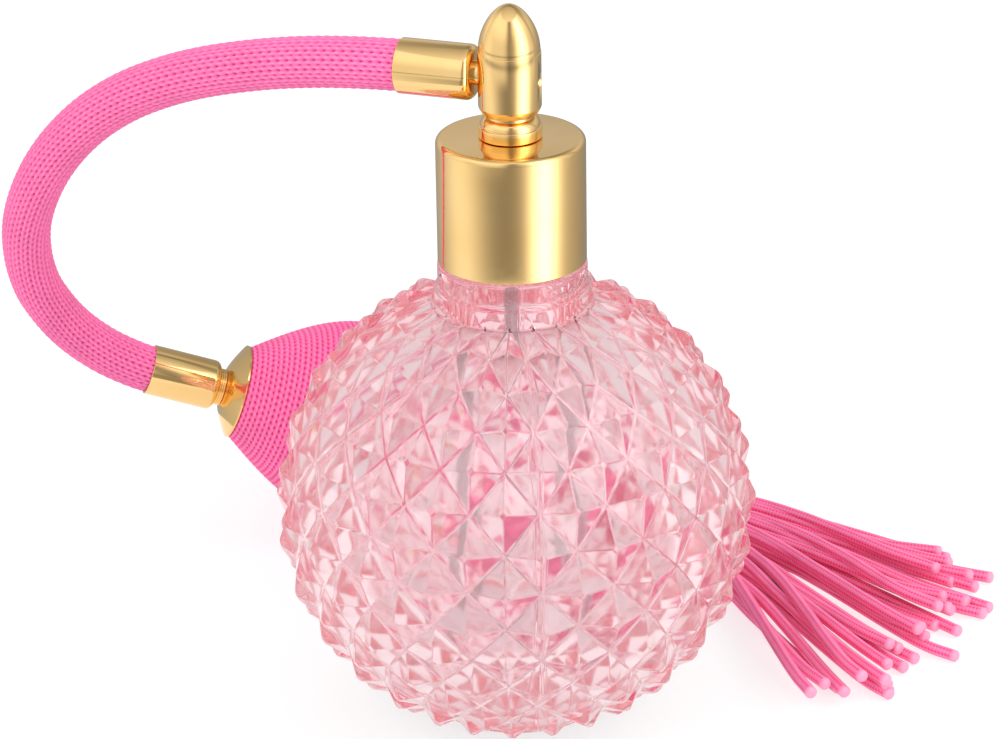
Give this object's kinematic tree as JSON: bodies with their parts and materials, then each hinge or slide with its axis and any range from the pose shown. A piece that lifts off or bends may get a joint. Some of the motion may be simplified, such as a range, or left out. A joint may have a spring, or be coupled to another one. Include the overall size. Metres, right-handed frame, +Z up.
{
  "type": "perfume bottle",
  "caption": "Squeeze-bulb perfume atomizer: studded glass ball bottle, metal collar and spray head, knitted hose, knitted bulb and cord tassel.",
  "frame": {"origin": "centre of the bottle's flat base, on the surface it stands on", "axes": "+Z up along the axis of the ball and the spray head, -Y to the front, -X towards the hose's loop, +X towards the tassel"},
  "size_m": [0.1661, 0.122, 0.1164],
  "materials": {
    "pink_glass": "clear pressed glass with a pale pink tint",
    "gold_plate": "polished pale gold plate",
    "hose_knit": "fine tubular knit, pink",
    "bulb_knit": "coarse knit, deep pink",
    "tassel_cord": "knitted cord, pink",
    "black_rubber": "smooth black rubber",
    "white_plastic": "translucent white plastic"
  },
  "bodies": {
    "bottle": {"glass_bottle": "pink_glass"},
    "stem": {"neck_gasket": "black_rubber", "stem_plug": "white_plastic", "dip_tube": "white_plastic", "head_pedestal": "gold_plate", "jet_tube": "white_plastic", "swivel_seal": "black_rubber"},
    "collar": {"collar_shell": "gold_plate", "collar_liner": "white_plastic"},
    "head": {"head_barrel": "gold_plate", "head_finial": "gold_plate", "nozzle_insert": "gold_plate", "inlet_barb": "gold_plate", "hose_ferrule_head": "gold_plate", "hose_core": "black_rubber", "hose_sleeve": "hose_knit", "hose_ferrule_bulb": "gold_plate", "bulb_barb": "gold_plate", "outlet_valve_seat": "white_plastic", "bulb_cap": "gold_plate", "bulb_bladder": "black_rubber", "bulb_cover": "bulb_knit"},
    "outlet_valve": {"outlet_valve_disc": "black_rubber"},
    "tail": {"intake_valve_body": "white_plastic", "intake_valve_cage": "white_plastic", "tassel_binding": "tassel_cord", "tassel_cords": "tassel_cord"},
    "intake_valve": {"intake_valve_disc": "black_rubber"}
  },
  "joints": [
    {"name": "atomizer_lift", "type": "slide", "parent": "bottle", "child": "stem", "axis": [0, 0, 1], "range_m": [0, 0.09]},
    {"name": "collar_turn", "type": "hinge", "parent": "stem", "child": "collar", "pos_m": [0, 0, 0.085], "axis": [0, 0, 1], "continuous": true},
    {"name": "head_swivel", "type": "hinge", "parent": "stem", "child": "head", "pos_m": [0, 0, 0.1], "axis": [0, 0, 1], "continuous": true},
    {"name": "outlet_valve_lift", "type": "slide", "parent": "head", "child": "outlet_valve", "axis": [-0.9335, -0.1312, 0.3338], "range_m": [0, 0.0008], "stiffness_N_per_m": 20},
    {"name": "bulb_squeeze", "type": "slide", "parent": "head", "child": "tail", "axis": [-0.9335, -0.1312, 0.3338], "range_m": [0, 0.012], "stiffness_N_per_m": 200, "deforming": ["bulb_cover", "bulb_bladder"]},
    {"name": "intake_valve_lift", "type": "slide", "parent": "tail", "child": "intake_valve", "axis": [-0.9335, -0.1312, 0.3338], "range_m": [0, 0.0008], "stiffness_N_per_m": 20}
  ],
  "couplings": [
    {"joint": "collar_turn", "follows": "atomizer_lift", "rad_per_m": 2094.4}
  ]
}
